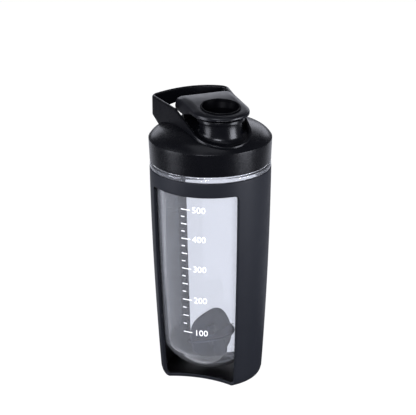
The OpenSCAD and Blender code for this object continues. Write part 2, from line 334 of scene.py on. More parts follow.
def make_piece(name, shell, material, body, nodes=(), thickness=0, bevel=0, facing=True):
    """A smooth mesh piece that rides on a body and stands for CAD nodes."""
    piece = new_mesh(name, shell, facing)
    if thickness:
        solid = piece.modifiers.new("thickness", "SOLIDIFY")
        solid.thickness = thickness * MM
        solid.offset = 0
        solid.use_even_offset = True
    if bevel:
        edge = piece.modifiers.new("edges", "BEVEL")
        edge.width = bevel * MM
        edge.segments = 3
        edge.limit_method = "ANGLE"
        edge.angle_limit = math.radians(50)
        edge.use_clamp_overlap = False
    normals = piece.modifiers.new("normals", "WEIGHTED_NORMAL")
    normals.weight = 60
    piece.data.materials.append(material)
    baked(piece)
    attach(piece, body)
    if nodes:
        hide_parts(*nodes)
    return piece


# ---- materials ----

def add_node(tree, kind, **values):
    """A shader node with some of its inputs or settings given."""
    node = tree.nodes.new(kind)
    for key, value in values.items():
        name = key.replace("_", " ")
        if name in node.inputs:
            node.inputs[name].default_value = value
        else:
            setattr(node, key, value)
    return node


def noise(tree, scale, detail=3.0, roughness=0.55):
    """Noise over the object's own coordinates, scale in waves per metre."""
    place = tree.nodes.new("ShaderNodeTexCoord")
    wave = add_node(tree, "ShaderNodeTexNoise", Scale=scale, Detail=detail, Roughness=roughness)
    tree.links.new(place.outputs["Object"], wave.inputs["Vector"])
    return wave.outputs["Fac"]


def ranged(tree, source, low, high):
    """A 0 to 1 value spread from low to high."""
    spread = add_node(tree, "ShaderNodeMapRange", From_Min=0.3, From_Max=0.7, To_Min=low, To_Max=high)
    tree.links.new(source, spread.inputs["Value"])
    return spread.outputs["Result"]


def blended(tree, factor, first, second):
    """A colour between two, by a factor."""
    blend = tree.nodes.new("ShaderNodeMix")
    blend.data_type = "RGBA"
    blend.inputs["A"].default_value = (*first, 1)
    blend.inputs["B"].default_value = (*second, 1)
    tree.links.new(factor, blend.inputs["Factor"])
    return blend.outputs["Result"]


def bumped(tree, shader, height, distance, strength, under=None):
    """Bump from a height, laid over another bump where there is one."""
    bump = add_node(tree, "ShaderNodeBump", Strength=strength, Distance=distance)
    tree.links.new(height, bump.inputs["Height"])
    if under is not None:
        tree.links.new(under, bump.inputs["Normal"])
    tree.links.new(bump.outputs["Normal"], shader.inputs["Normal"])
    return bump.outputs["Normal"]


def new_material(name):
    """An empty node material and its principled shader."""
    material = bpy.data.materials.new(name)
    material.use_nodes = True
    return material, material.node_tree, material.node_tree.nodes["Principled BSDF"]


def outward(tree):
    """1 on faces that look away from a point low inside the object, 0 on faces that look at it: the mask
    for painted shade on inward faces.
    """
    place = tree.nodes.new("ShaderNodeTexCoord")
    reach = add_node(tree, "ShaderNodeVectorMath", operation="SUBTRACT")
    reach.inputs[1].default_value = (0, 0, 0.03)
    across = add_node(tree, "ShaderNodeVectorMath", operation="DOT_PRODUCT")
    tree.links.new(place.outputs["Object"], reach.inputs[0])
    tree.links.new(reach.outputs["Vector"], across.inputs[0])
    tree.links.new(place.outputs["Normal"], across.inputs[1])
    spread = add_node(tree, "ShaderNodeMapRange", From_Min=-0.022, From_Max=-0.008)
    tree.links.new(across.outputs["Value"], spread.inputs["Value"])
    return spread.outputs["Result"]


def moulded_plastic(name, dark, light, gloss, shine, grain, grain_depth, inside=None):
    """Moulded plastic: faint mottle, uneven gloss, spark-eroded grain and slow sink waves, and, where an
    inside colour is given, painted shade on the faces that look inward.
    """
    material, tree, shader = new_material(name)
    tint = blended(tree, noise(tree, 90, 4), dark, light)
    # inside is a painted shade colour: faces that look inward take it in place of the plastic's own tint
    if inside:
        painted_inner_shade = blended(tree, outward(tree), inside, light)
        tree.links.new(tint, painted_inner_shade.node.inputs["B"])
        tint = painted_inner_shade
    tree.links.new(tint, shader.inputs["Base Color"])
    tree.links.new(ranged(tree, noise(tree, 160, 5, 0.6), *gloss), shader.inputs["Roughness"])
    shader.inputs["Specular IOR Level"].default_value = shine
    slow = bumped(tree, shader, noise(tree, 40, 1), 0.0003, 0.05)
    bumped(tree, shader, noise(tree, grain, 2), 0.00003, grain_depth, slow)
    return material


def clear_plastic(name):
    """Clear polished plastic with a cool tint, faint flow waves and soft smudges."""
    material, tree, shader = new_material(name)
    tint = blended(tree, noise(tree, 30, 2), (0.84, 0.86, 0.915), (0.87, 0.885, 0.935))
    tree.links.new(tint, shader.inputs["Base Color"])
    tree.links.new(ranged(tree, noise(tree, 120, 4, 0.6), 0.015, 0.05), shader.inputs["Roughness"])
    bumped(tree, shader, noise(tree, 60, 1), 0.0004, 0.08)
    shader.inputs["Transmission Weight"].default_value = 0.955
    shader.inputs["IOR"].default_value = 1.49
    return material


def silicone_rubber(name):
    """Milky silicone with a dusty surface."""
    material, tree, shader = new_material(name)
    tint = blended(tree, noise(tree, 200, 3), (0.55, 0.56, 0.6), (0.66, 0.67, 0.7))
    tree.links.new(tint, shader.inputs["Base Color"])
    tree.links.new(ranged(tree, noise(tree, 400, 3), 0.5, 0.7), shader.inputs["Roughness"])
    bumped(tree, shader, noise(tree, 2500, 2), 0.00004, 0.3)
    shader.inputs["Subsurface Weight"].default_value = 0.15
    shader.inputs["Subsurface Radius"].default_value = (0.002, 0.002, 0.002)
    return material


def ground_steel(name):
    """Ground steel with fine scratches round the pin."""
    material, tree, shader = new_material(name)
    shader.inputs["Metallic"].default_value = 1.0
    tint = blended(tree, noise(tree, 900, 4), (0.42, 0.43, 0.45), (0.58, 0.59, 0.6))
    tree.links.new(tint, shader.inputs["Base Color"])
    tree.links.new(ranged(tree, noise(tree, 3000, 4), 0.22, 0.4), shader.inputs["Roughness"])
    bumped(tree, shader, noise(tree, 5000, 2), 0.00002, 0.4)
    return material


def white_ink(name):
    """Screen-printed white ink, slightly uneven."""
    material, tree, shader = new_material(name)
    tint = blended(tree, noise(tree, 1500, 4), (0.86, 0.87, 0.88), (0.95, 0.95, 0.96))
    tree.links.new(tint, shader.inputs["Base Color"])
    tree.links.new(ranged(tree, noise(tree, 2500, 3), 0.4, 0.6), shader.inputs["Roughness"])
    bumped(tree, shader, noise(tree, 4000, 2), 0.00002, 0.3)
    return material


# The sleeve's inside colour is painted shade that darkens its inner walls and the top of its bridge
SLEEVE_PLASTIC = moulded_plastic(
    "sleeve_plastic", (0.0060, 0.0068, 0.0094), (0.0080, 0.0090, 0.0124), gloss=(0.46, 0.54),
    shine=0.14, grain=3200, grain_depth=0.2, inside=(0.0003, 0.0003, 0.0005))
LID_PLASTIC = moulded_plastic(
    "lid_plastic", (0.0010, 0.0011, 0.0017), (0.0014, 0.0015, 0.0023), gloss=(0.24, 0.30),
    shine=0.22, grain=3600, grain_depth=0.06)
HANDLE_PLASTIC = moulded_plastic(
    "handle_plastic", (0.0011, 0.0012, 0.0018), (0.0015, 0.0016, 0.0024), gloss=(0.26, 0.32),
    shine=0.22, grain=3400, grain_depth=0.1)
CAP_PLASTIC = moulded_plastic(
    "cap_plastic", (0.0014, 0.0015, 0.0024), (0.0019, 0.0021, 0.0032), gloss=(0.30, 0.37),
    shine=0.25, grain=3400, grain_depth=0.12)
# The plug's base colour is the black plastic darkened further as painted shade for its deep hollow; its
# low shine is its own gloss
PLUG_PLASTIC = moulded_plastic(
    "plug_plastic", (0.0006, 0.0006, 0.0010), (0.0009, 0.0009, 0.0014), gloss=(0.38, 0.44),
    shine=0.02, grain=3800, grain_depth=0.05)
MIXER_PLASTIC = moulded_plastic(
    "mixer_plastic", (0.036, 0.041, 0.060), (0.046, 0.052, 0.074), gloss=(0.36, 0.48),
    shine=0.4, grain=2200, grain_depth=0.3)
CLEAR_PLASTIC = clear_plastic("cup_plastic")
SILICONE = silicone_rubber("silicone")
STEEL = ground_steel("pin_steel")
INK = white_ink("scale_ink")


# ---- sleeve ----

def leg_columns():
    """Places across a leg, from -1 to 1."""
    return between(-1, 1, 34)


def window_columns():
    """Places across a window, from 0 to 1, close together near its corners."""
    width = math.radians(2 * WINDOW_HALF) * RIM_R
    fine = [i * WINDOW_CORNER / CORNER_STEPS / width for i in range(CORNER_STEPS)]
    even = between(fine[-1] + 0.012, 1 - fine[-1] - 0.012, 44)
    return fine + even + [1 - f for f in reversed(fine)]


def skin_point(angle, z, inset):
    """A point inside the sleeve's outside at an angle and height."""
    x, y = polar(side_r(z) - inset, angle)
    return Vector((x, y, z))


def corner_shift(d, towards_top):
    """How far a point at distance d from a window's corner moves along and down on to its arc."""
    turn = 45 * min(1, d / WINDOW_CORNER)
    x, y = polar(WINDOW_CORNER, 135 - turn if towards_top else 135 + turn)
    return WINDOW_CORNER + x, WINDOW_CORNER - y


def sleeve_band(inset):
    """The band above the windows, its lower edge turned down into each window's corners."""
    legs, windows = leg_columns()[:-1], window_columns()[:-1]
    angles, edge_gap = [], []
    reach = math.radians(2 * WINDOW_HALF) * (side_r(WINDOW_TOP) - inset)
    for turn in (WINDOW_DIRECTION + 90, WINDOW_DIRECTION + 270):
        angles += [turn + LEG_HALF * j for j in legs]
        edge_gap += [reach] + [None] * (len(legs) - 1)
        angles += [turn + LEG_HALF + 2 * WINDOW_HALF * j for j in windows]
        edge_gap += [j * reach for j in windows]
    heights = [SLEEVE_H, SLEEVE_H - 2, SLEEVE_H - 4.5, SLEEVE_H - 7, WINDOW_TOP + 1.6]
    loops = [[skin_point(a, z, inset) for a in angles] for z in heights]
    lowest = []
    per_mm = math.degrees(1 / (side_r(WINDOW_TOP) - inset))
    for a, gap in zip(angles, edge_gap):
        from_end = WINDOW_CORNER if gap is None else min(gap, reach - gap)
        down = 0
        if from_end < WINDOW_CORNER:
            along, down = corner_shift(from_end, True)
            sign = 1 if gap < reach / 2 else -1
            a += sign * (along - from_end) * per_mm
        lowest.append(skin_point(a, WINDOW_TOP - down, inset))
    return bridged(loops + [lowest])


def leg_edge_shift(z):
    """How far a leg's edge moves into the window near the window's upper corner."""
    d = WINDOW_TOP - z
    if d >= WINDOW_CORNER:
        return 0, 0
    along, down = corner_shift(d, False)
    return along, down - d


def sleeve_leg(turn, inset):
    """One leg, from the band down round the foot to the middle of the bridge."""
    columns = leg_columns()
    corner = between(WINDOW_TOP, WINDOW_TOP - WINDOW_CORNER, CORNER_STEPS)
    heights = corner + between(WINDOW_TOP - 6, FOOT_ROUND + 1, 40)
    rows = []
    for z in heights:
        along, down = leg_edge_shift(z)
        extra = math.degrees(along / (side_r(z) - inset))
        row = []
        for j in columns:
            on_edge = abs(j) == 1
            a = turn + LEG_HALF * j + (extra * j if on_edge else 0)
            row.append(skin_point(a, z - (down if on_edge else 0), inset))
        rows.append(row)
    foot_c = (FOOT_R - FOOT_ROUND, FOOT_ROUND)
    foot_y = scoop_on_ring(FOOT_R - FOOT_ROUND)
    foot_half = math.degrees(math.atan2(scoop_x(foot_y), foot_y))
    for i, p in enumerate(arc(foot_c, FOOT_ROUND - inset, -4, -90, 10)):
        half = mix(LEG_HALF, foot_half, ease(i / 10))
        ring = [polar(p[0], turn + half * j) for j in columns]
        rows.append([Vector((x, y, p[1])) for x, y in ring])
    return sheet(rows + bridge_rows(turn, columns, foot_half, inset))


def scoop_x(y):
    """Half width of the bridge at distance y from its middle."""
    return BRIDGE_HALF + SCOOP_R - math.sqrt(SCOOP_R ** 2 - y * y)


def scoop_on_ring(radius):
    """Distance from the bridge's middle at which its edge reaches a radius."""
    low, high = 0, radius
    for _ in range(30):
        middle = (low + high) / 2
        if math.hypot(middle, scoop_x(middle)) < radius:
            low = middle
        else:
            high = middle
    return low


def bridge_rows(turn, columns, foot_half, inset):
    """Flat rows from the foot's ring to the bridge's middle."""
    rows = []
    ring_r = FOOT_R - FOOT_ROUND
    edge = polar(ring_r, foot_half)
    for t in between(0.1, 1, 9):
        side = scoop_x(edge.x * (1 - t)) / mix(edge.y, BRIDGE_HALF, t)
        row = []
        for j in columns:
            on_ring = polar(ring_r, foot_half * j)
            out = on_ring.x * (1 - t)
            across = mix(on_ring.y, BRIDGE_HALF * j, t) * side
            a = math.radians(turn)
            row.append(Vector((
                out * math.cos(a) - across * math.sin(a),
                out * math.sin(a) + across * math.cos(a),
                inset,
            )))
        rows.append(row)
    return rows


def make_sleeve():
    """The black sleeve with two windows and a base bridge."""
    inset = SLEEVE_T / 2
    legs = [sleeve_leg(WINDOW_DIRECTION + turn, inset) for turn in (90, 270)]
    shell = joined(sleeve_band(inset), *legs)
    make_piece("sleeve_shell", shell, SLEEVE_PLASTIC, "sleeve", ["outer_sleeve"],
               thickness=SLEEVE_T, bevel=0.6)


# ---- cup ----

def cup_skin(inset):
    """Half section of the cup's skin, from the floor's middle to the sleeve's rim."""
    skin = SLEEVE_T + CUP_GAP
    reach = side_r(CUP_FLOOR + 22) - skin - CUP_TURN_R
    drop = math.sqrt((DOME_R - CUP_TURN_R) ** 2 - reach ** 2)
    ball = (0, CUP_FLOOR + DOME_R)
    turn = (reach, ball[1] - drop)
    join = math.degrees(math.atan2(drop, reach))
    heights = between(turn[1] + 2, SLEEVE_H, 40)
    return (
        arc(ball, DOME_R - inset, -90, -join, 24)
        + arc(turn, CUP_TURN_R - inset, -join + 4, -3, 12)
        + [Vector((side_r(z) - skin - inset, z)) for z in heights]
    )


def ridge_height(angle, z, span, base_z):
    """Height of a helical ridge at an angle and height on its wall, its span as start and sweep."""
    start, sweep = span
    best = 0
    for turn in (0, 1):
        a = angle + 360 * turn
        if not start <= a <= start + sweep:
            continue
        off = abs(z - base_z - LEAD * a / 360)
        fade = ease(min(a - start, start + sweep - a) / RIDGE_FADE + 0.1)
        best = max(best, RIDGE_H * ease((RIDGE_HALF - off) / RIDGE_SLOPE) * fade)
    return best


def cup_swell(angle, r, z):
    """The thread on the cup's neck."""
    if z < THREAD_FOOT_Z or z > CUP_RIM_Z - 0.6 or r < NECK_R - 0.1:
        return 0
    return ridge_height(angle, z, CUP_THREAD, THREAD_Z)


def make_cup():
    """The clear cup: foot nub, skin, flange, bead and threaded neck in one closed wall."""
    outer, inner = cup_skin(0), cup_skin(CUP_T)
    nub = [Vector((0, CUP_FOOT_Z)), Vector((1.1, CUP_FOOT_Z)), Vector((1.35, CUP_FOOT_Z + 0.2)),
           Vector((1.5, CUP_FLOOR - 0.1)), Vector((1.9, CUP_FLOOR + 0.04))]
    bead_r = FLANGE_R - 0.9
    collar = rounded([
        (outer[-1].x - 1, FLANGE_Z, 0), (outer[-1].x, FLANGE_Z, 0),
        (FLANGE_R, FLANGE_Z, 0.5), (FLANGE_R, FLANGE_TOP, 0.8),
        (NECK_R + 1.6, FLANGE_TOP + 0.4, 0.15), (bead_r, FLANGE_TOP + 0.45, 0.2),
        (bead_r, FLANGE_TOP + 1.25, 0.35), (NECK_R, FLANGE_TOP + 1.75, 0.5),
        (NECK_R, THREAD_FOOT_Z, 0),
    ])[1:]
    neck = [Vector((NECK_R, z)) for z in between(THREAD_FOOT_Z + 0.05, CUP_RIM_Z - 0.65, 44)]
    rim = rounded([
        (NECK_R, CUP_RIM_Z - 2, 0), (NECK_R, CUP_RIM_Z, 0.5),
        (NECK_IN_R, CUP_RIM_Z, 0.5), (NECK_IN_R, CUP_RIM_Z - 2, 0),
    ])[1:-1]
    inside = [Vector((NECK_IN_R, CUP_RIM_Z - 8)), Vector((NECK_IN_R, FLANGE_Z + 4)),
              Vector((NECK_IN_R - 0.15, FLANGE_Z + 2))]
    outline = nub + outer[3:] + collar + neck + rim + inside + list(reversed(inner))
    make_piece("clear_cup", turned(outline, 240, swell=cup_swell), CLEAR_PLASTIC, "cup",
               ["inner_cup"])


# ---- lid ----

def dome_z(r):
    """Height of the lid's dome above the shoulder."""
    return DOME_H - DOME_SPHERE + math.sqrt(DOME_SPHERE ** 2 - r * r)


def lid_edge():
    """The dome's outer edge, from the dome down to the shoulder."""
    z = dome_z(EDGE_R)
    slope = EDGE_R / math.sqrt(DOME_SPHERE ** 2 - EDGE_R ** 2)
    run = (LID_R - EDGE_R) * 0.63
    return curve((EDGE_R, z), (EDGE_R + run, z - run * slope), (LID_R - 0.3, 0.1), 24)


EDGE_LINE = lid_edge()


def lid_z(r):
    """Height of the lid's top above the shoulder at radius r."""
    return dome_z(r) if r <= EDGE_R else height_on(EDGE_LINE, r)


def spout_line():
    """The spout's outside from its foot up, as (height, radius)."""
    foot = curve((SPOUT_FOOT_Z, SPOUT_FOOT_R), (4.5, SPOUT_R), (SPOUT_EASED_Z, SPOUT_R), 24)
    return foot + [Vector((COLLAR_Z, SPOUT_R + 0.1))]


SPOUT_LINE = spout_line()


def from_spout(reach, angle):
    """A plan point at a distance and angle from the spout's axis."""
    return polar(reach, angle, (0, SPOUT_Y))


def spout_meets(angle):
    """Height where the spout's outside meets the dome at an angle."""
    low, high = SPOUT_FOOT_Z, SPOUT_EASED_Z
    for _ in range(30):
        middle = (low + high) / 2
        spot = from_spout(height_on(SPOUT_LINE, middle), angle)
        if middle < lid_z(spot.length):
            low = middle
        else:
            high = middle
    return low


def reach_to_radius(radius, angle):
    """Distance from the spout's axis to a circle about the lid's axis."""
    d = polar(1, angle)
    along = SPOUT_Y * d.y
    return -along + math.sqrt(along ** 2 - SPOUT_Y ** 2 + radius ** 2)


def spout_section(at):
    """The spout's lip and collar in section, from its bore to its outside."""
    foot_r = SPOUT_R + 0.1
    rim = rounded([
        (SPOUT_LIP_R - 1, SPOUT_H, 0), (SPOUT_LIP_R, SPOUT_H, 0.5), (SPOUT_LIP_R, COLLAR_TOP + 0.5, 0.4),
        (COLLAR_R, COLLAR_TOP, 0.5), (COLLAR_R, COLLAR_Z, 0.6), (foot_r, COLLAR_Z - 0.5, 0.5),
        (foot_r, COLLAR_Z - 2, 0),
    ])[1:-1]
    bore = [(SPOUT_BORE, SPOUT_H - 4), (SPOUT_BORE, SPOUT_H - 0.5),
            (SPOUT_BORE + 0.15, SPOUT_H - 0.15), (SPOUT_BORE + 0.5, SPOUT_H)]
    return [at(reach, z) for reach, z in bore + [tuple(p) for p in rim]]


def dome_section(at, angle):
    """The spout's side, its fillet and the dome in section, out to the dome's edge."""
    meet = spout_meets(angle)
    start = meet + SPOUT_FILLET
    section = [at(height_on(SPOUT_LINE, z), z) for z in between(COLLAR_Z - 1.5, start, 12)]
    reach = height_on(SPOUT_LINE, meet)
    fillet_end = reach + SPOUT_FILLET
    dome_end = lid_z(from_spout(fillet_end, angle).length)
    fillet = curve((height_on(SPOUT_LINE, start), start), (reach, meet), (fillet_end, dome_end), 8)
    section += [at(r, z) for r, z in fillet[1:]]
    outer = reach_to_radius(DOME_END_R, angle)
    for t in between(1 / 20, 1, 19):
        r = mix(fillet_end, outer, t)
        section.append(at(r, lid_z(from_spout(r, angle).length)))
    return section


def band_section(on_circle):
    """The lid's edge, shoulder and band in section, down to the foot and in to the bore."""
    section = [on_circle(r, lid_z(r)) for r in EDGE_RADII]
    last = LID_R - 0.8
    shoulder = rounded([(last, lid_z(last), 0), (LID_R, -0.25, 0.45), (LID_R - 0.05, -2, 0)], 5)[1:-1]
    section += [on_circle(r, z) for r, z in shoulder]
    section += [on_circle(mix(LID_R - 0.05, LID_R - 0.6, t), mix(-2, -14, t)) for t in (0.0, 0.5, 1.0)]
    band = rounded([
        (LID_R, -1, 0), (LID_R - 0.7, LID_FOOT, 0.5), (BORE_R, LID_FOOT, 0.5), (BORE_R, -1, 0),
    ])[1:-1]
    return section + [on_circle(r, z) for r, z in band]


def inside_section(at, on_circle, angle):
    """The lid's bore with its thread, its rib and the underside of its dome, in section."""
    around = math.degrees(math.atan2(*reversed(from_spout(reach_to_radius(BORE_R, angle), angle)))) % 360
    section = []
    for z in between(LID_FOOT + 0.9, -2.2, 44):
        ridge = ridge_height(around, SHOULDER + z, LID_THREAD, THREAD_Z - LID_THREAD_DROP)
        section.append(on_circle(BORE_R - ridge, z))
    rib_in = RIB_R - RIB_T
    inside = rounded([
        (BORE_R, -2, 0), (BORE_R, -1, 0.3), (RIB_R, -1, 0.3), (RIB_R, -6, 0.4),
        (rib_in, -6, 0.4), (rib_in, dome_z(RIB_R) - LID_T, 1.2), (RIB_R - 6, 7, 0),
    ])[1:-1]
    section += [on_circle(r, z) for r, z in inside]
    inner = reach_to_radius(rib_in - 2, angle)
    for t in between(0, 1, 10):
        r = mix(inner, SPOUT_BORE, t)
        section.append(at(r, dome_z(from_spout(r, angle).length) - LID_T))
    return section


def lid_section(angle):
    """The lid's section from the spout's bore, over the top and back inside, at one angle."""
    def at(reach, z):
        x, y = from_spout(reach, angle)
        return Vector((x, y, SHOULDER + z))

    def on_circle(radius, z):
        return at(reach_to_radius(radius, angle), z)

    return (spout_section(at) + dome_section(at, angle) + band_section(on_circle)
            + inside_section(at, on_circle, angle))


def hinge_post():
    """The block on the lid that carries the hinge pin, closed, its foot on the dome."""
    tangent = math.degrees(math.acos(POST_HALF / POST_R))
    top = arc((HINGE_Y, HINGE_Z), POST_R, -tangent, 180 + tangent, 40)
    face, toe = HINGE_Y + POST_HALF, HINGE_Y + POST_HALF + POST_FLARE
    loops = []
    for x in between(-POST_WIDE, POST_WIDE, 16):
        foot = dome_z(math.hypot(x, toe))
        right = curve((toe, foot), (face, foot + 0.6), (face, foot + 3), 8)
        left = [Vector((2 * HINGE_Y - p.x, p.y)) for p in reversed(right)]
        outline = [Vector((toe, foot - 1))] + right + top + left
        outline.append(Vector((2 * HINGE_Y - toe, foot - 1)))
        loops.append([Vector((x, y, SHOULDER + z)) for y, z in outline])
    return bridged(loops, capped=True)


def make_lid():
    """The screw lid: one closed wall from the spout over the dome and band, and its hinge post."""
    sections = [lid_section(360 * i / 200) for i in range(200)]
    make_piece("lid_shell", bridged(sections, closed=True), LID_PLASTIC, "lid", ["screw_lid"])
    post = make_piece("lid_hinge_post", hinge_post(), LID_PLASTIC, "lid",
                      bevel=0.4)
    cut(post, across_cylinder(-POST_WIDE - 1, POST_WIDE + 1, PIN_BORE, 0))


# ---- handle ----

RING_R = 22
STRAP_T = 2.6
HANDLE_HALF = box_mm("carry_handle")[1].x
HANDLE_Y = box_mm("carry_handle")[1].y
HANDLE_CORNER = 5
CROSSBAR_TOP = box_mm("carry_handle")[1].z - SHOULDER
ARM_TOP = 22
ARM_FOOT = (29, 2.6)
ARM_BACK_Z = 10.7
FINGER_HALF = 24
FINGER_TOP = 16.6
ARM_START_Y = 6
ARM_START_Z = ARM_TOP - 0.6
BAR_START_Y = HANDLE_Y - 9
BAR_EASE = 6
STRAP_TOP_LINE = curve4((-43, 3.8), (-30, 9), (-12, 14), (ARM_START_Y, ARM_START_Z), 40)


def strap_path():
    """Plan of the strap's middle line, once round, with a point and a heading at each station."""
    ring = RING_R - STRAP_T / 2
    corner = HANDLE_CORNER - STRAP_T / 2
    middle = Vector((HANDLE_HALF - HANDLE_CORNER, HANDLE_Y - HANDLE_CORNER))
    spout = Vector((0, SPOUT_Y))
    span = middle - spout
    lean = math.degrees(math.asin((ring - corner) / span.length) + math.atan2(span.y, span.x)) - 90
    front = arc(spout, ring, 180 - lean, 360 + lean, 72)
    side_start, side_end = front[-1], polar(corner, lean, middle)
    side = [mix(side_start, side_end, t) for t in between(0, 1, 36)][1:-1]
    bend = arc(middle, corner, lean, 90, 12)
    bar = [Vector((x, HANDLE_Y - STRAP_T / 2)) for x in between(middle.x, -middle.x, 40)][1:-1]
    other_bend = [Vector((-p.x, p.y)) for p in reversed(bend)]
    other_side = [Vector((-p.x, p.y)) for p in reversed(side)]
    return front + side + bend + bar + other_bend + other_side


def strap_top(p):
    """Height of the strap's upper edge at a plan point."""
    if p.y < ARM_START_Y:
        return height_on(STRAP_TOP_LINE, p.y)
    arm = mix(ARM_START_Z, ARM_TOP, (p.y - ARM_START_Y) / (HANDLE_Y - ARM_START_Y))
    bow = (CROSSBAR_TOP - ARM_TOP) * max(0, 1 - (p.x / (HANDLE_HALF - 1)) ** 2)
    return arm + bow * ease((p.y - BAR_START_Y) / BAR_EASE)


def strap_foot(p):
    """Height of the strap's lower edge at a plan point."""
    if p.y < ARM_FOOT[0]:
        return lid_z(min(p.length, LID_R - 0.4)) - 0.4
    arm = mix(ARM_FOOT[1], ARM_BACK_Z, (p.y - ARM_FOOT[0]) / (HANDLE_Y + 1 - ARM_FOOT[0]))
    bow = (FINGER_TOP - ARM_BACK_Z) * max(0, 1 - (p.x / FINGER_HALF) ** 2)
    return arm + bow * ease((p.y - BAR_START_Y) / BAR_EASE)


def make_handle():
    """The carry handle: one strap round the spout and up to the crossbar, with its two clips."""
    path = strap_path()
    loops = []
    for i, p in enumerate(path):
        heading = (path[(i + 1) % len(path)] - path[i - 1]).normalized()
        out = Vector((heading.y, -heading.x))
        low, high = strap_foot(p), strap_top(p)
        half = STRAP_T / 2
        section = rounded([
            (-half, low, 0.5), (half, low, 0.5), (half, mix(low, high, 0.5), 0), (half, high, 1.25),
            (-half, high, 1.25), (-half, mix(low, high, 0.5), 0),
        ], 6)
        loops.append([Vector((*(p + out * w), SHOULDER + z)) for w, z in section])
    shell = joined(bridged(loops, closed=True), *handle_clips())
    make_piece("handle_strap", shell, HANDLE_PLASTIC, "lid", ["carry_handle"])


def handle_clips():
    """The two clips that hold the handle's arms in the lid."""
    clips = []
    lean = (HANDLE_HALF - RING_R) / (HANDLE_Y - HANDLE_CORNER - SPOUT_Y)
    x, wide, long = RING_R - STRAP_T / 2 - SPOUT_Y * lean, 0.9, 5
    for middle in (-x, x):
        low, high = middle - wide, middle + wide
        plan = rounded([(low, -long, 0.4), (high, -long, 0.4), (high, long, 0.4), (low, long, 0.4)])
        loops = [[Vector((*p, SHOULDER + z)) for p in plan] for z in (6.6, 12.5)]
        clips.append(bridged(loops, capped=True))
    return clips


# ---- flip cap ----

PLATE_T = 2.4
SKIRT_T = 2.2
SKIRT_FOOT = 22.4
CAP_END = HINGE_Y + 3.2
BARREL_R = 3.2
PLUG_SEAT = 14
SIDE_GAP = 0.5
TURNING_GAP = 0.7
CAP_ROUND = 5
CAP_CREST_Y = 3
CAP_CREST = 0.35
CAP_BOW = 0.0045
CAP_FLAT_Y = -8
CAP_CORNER = 2.2
SKIRT_REAR_DROP = 2.6
CAP_REAR_Y = 6
ROOM_R = 12
ROOM_LEAN = 84


def cap_outline():
    """Plan outline of the cap: a half circle round the spout and straight sides to the hinge."""
    right, rear = CAP_HALF - CAP_CORNER, CAP_END - CAP_CORNER
    front = arc((0, SPOUT_Y), CAP_HALF, 180, 360, 72)
    side = [Vector((CAP_HALF, y)) for y in between(SPOUT_Y, rear, 24)][1:]
    bend = arc((right, rear), CAP_CORNER, 0, 90, 8)[1:]
    back = [Vector((x, CAP_END)) for x in between(right, 0, 12)][1:]
    half = side + bend + back
    other = [Vector((-p.x, p.y)) for p in reversed(half[:-1])]
    return front + half + other


def cap_level(y):
    """Height of the cap's plate at y: bowed at the rear, then straight down to the front."""
    bowed = max(y, CAP_FLAT_Y) - CAP_CREST_Y
    slope = 2 * CAP_BOW * (CAP_CREST_Y - CAP_FLAT_Y)
    return CAP_TOP + CAP_CREST - CAP_BOW * bowed ** 2 + slope * min(0, y - CAP_FLAT_Y)


def cap_under(y):
    """Height of the plate's underside at y, clear of the spout's rim."""
    return max(cap_level(y) - PLATE_T, SPOUT_H + 0.35)


def cap_drop(y):
    """How far the cap's rounded edge drops from its plate at y."""
    t = max(0, (y - CAP_REAR_Y) / (CAP_END - CAP_REAR_Y))
    return mix(1.7, 3, ease((y + 40) / 26)) + 4.2 * t * t


def cap_foot(y):
    """Height of the skirt's foot at y."""
    return mix(SKIRT_FOOT, HINGE_Z - SKIRT_REAR_DROP, ease((y - SPOUT_Y - 3) / 22))


def cap_section(p):
    """The cap's section from the plug's seat, over its top and back underneath, at an outline point."""
    centre = Vector((0, SPOUT_Y))
    ray = p - centre
    round_from = 1 - CAP_ROUND / CAP_HALF
    seat = PLUG_SEAT / ray.length
    skirt = 1 - SKIRT_T / CAP_HALF
    drop, foot = cap_drop(p.y), cap_foot(p.y)

    def at(k, z=None, below=0.0):
        q = centre + ray * k
        return Vector((q.x, q.y, SHOULDER + (cap_level(q.y) if z is None else z) - below))

    def under(k):
        return at(k, cap_under((centre + ray * k).y))

    section = [under(seat), at(seat, below=0.3), at(seat * 1.02)]
    section += [at(k) for k in between(mix(seat, round_from, 0.12), round_from, 8)]
    level = cap_level((centre + ray * round_from).y)
    for a in between(10, 90, 8):
        rise = math.radians(a)
        section.append(at(mix(round_from, 1, math.sin(rise)), level - drop * (1 - math.cos(rise))))
    edge = level - drop
    section += [at(1, mix(edge, foot, t)) for t in (0.35, 0.7)]
    section += [at(1, foot + 0.5), at(1 - 0.006, foot + 0.15), at(1 - 0.02, foot)]
    section += [at(skirt + 0.02, foot), at(skirt + 0.006, foot + 0.15), at(skirt, foot + 0.5)]
    corner = max(foot + 0.9, level - drop * 0.4 - PLATE_T)
    section += [at(skirt, mix(foot + 0.6, corner, t)) for t in (0.5, 0.9)]
    section += [at(skirt - 0.01, corner + 0.25), at(skirt - 0.045, corner + 0.5)]
    section += [under(mix(skirt - 0.08, seat * 1.05, t)) for t in (0.0, 0.5, 1.0)]
    return section


def across_cylinder(x0, x1, radius, edge, bore=0):
    """A round barrel along X at the hinge, with rounded ends and maybe a bore."""
    outline = rounded([(bore, x0, 0), (radius, x0, edge), (radius, x1, edge), (bore, x1, 0)])
    shell = turned(outline, 64)
    return moved(shell, lambda p: Vector((p.z, HINGE_Y + p.x, SHOULDER + HINGE_Z + p.y)))


def post_room():
    """The space at the cap's rear that the lid's post fills when the cap is open."""
    far = polar(ROOM_R, ROOM_LEAN, (HINGE_Y, HINGE_Z))
    foot, rear = HINGE_Z - 6, far.x + 8
    outline = [(HINGE_Y, foot), (HINGE_Y, HINGE_Z), far, (rear, far.y), (rear, foot)]
    half = POST_WIDE + SIDE_GAP
    loops = [[Vector((x, y, SHOULDER + z)) for y, z in outline] for x in (-half, half)]
    return bridged(loops, capped=True)


